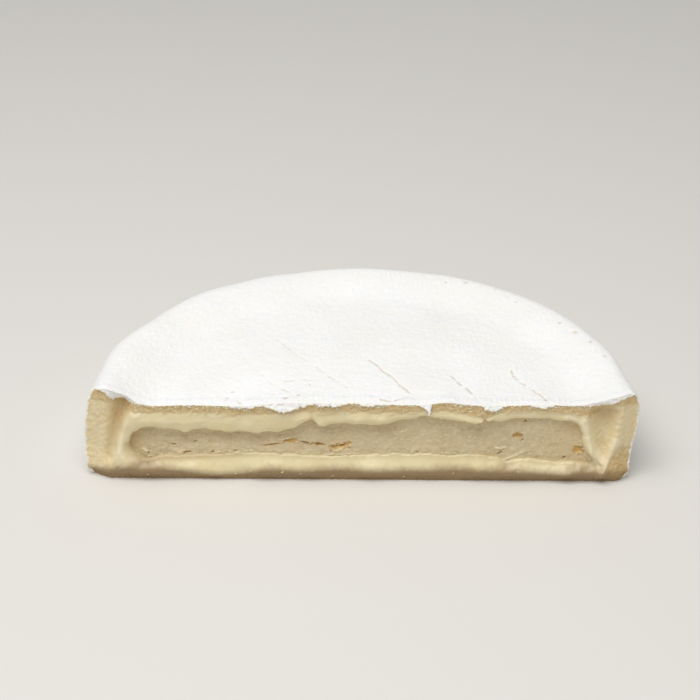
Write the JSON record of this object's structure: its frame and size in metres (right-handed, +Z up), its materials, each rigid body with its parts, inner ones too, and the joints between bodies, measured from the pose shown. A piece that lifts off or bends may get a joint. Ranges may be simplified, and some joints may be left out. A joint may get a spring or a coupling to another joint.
{
  "type": "half wheel of brie cheese",
  "caption": "Half of a flat round soft cheese with a white bloomy rind, cut side showing ripe cream round a firm chalky heart.",
  "frame": {"origin": "on the floor, under the middle of the half wheel's bounding box", "axes": "+X along the cut side, to the right when facing it; +Y away from the cut, towards the round rim; +Z up, through the thickness"},
  "size_m": [0.191, 0.0974, 0.0365],
  "materials": {
    "ripened_paste": "white downy rind outside, soft glossy cream-coloured paste at the cut",
    "firm_heart": "matt grey-beige chalky curd with small slits and flecks"
  },
  "bodies": {
    "root": {"paste": "ripened_paste", "heart": "firm_heart"}
  },
  "joints": []
}
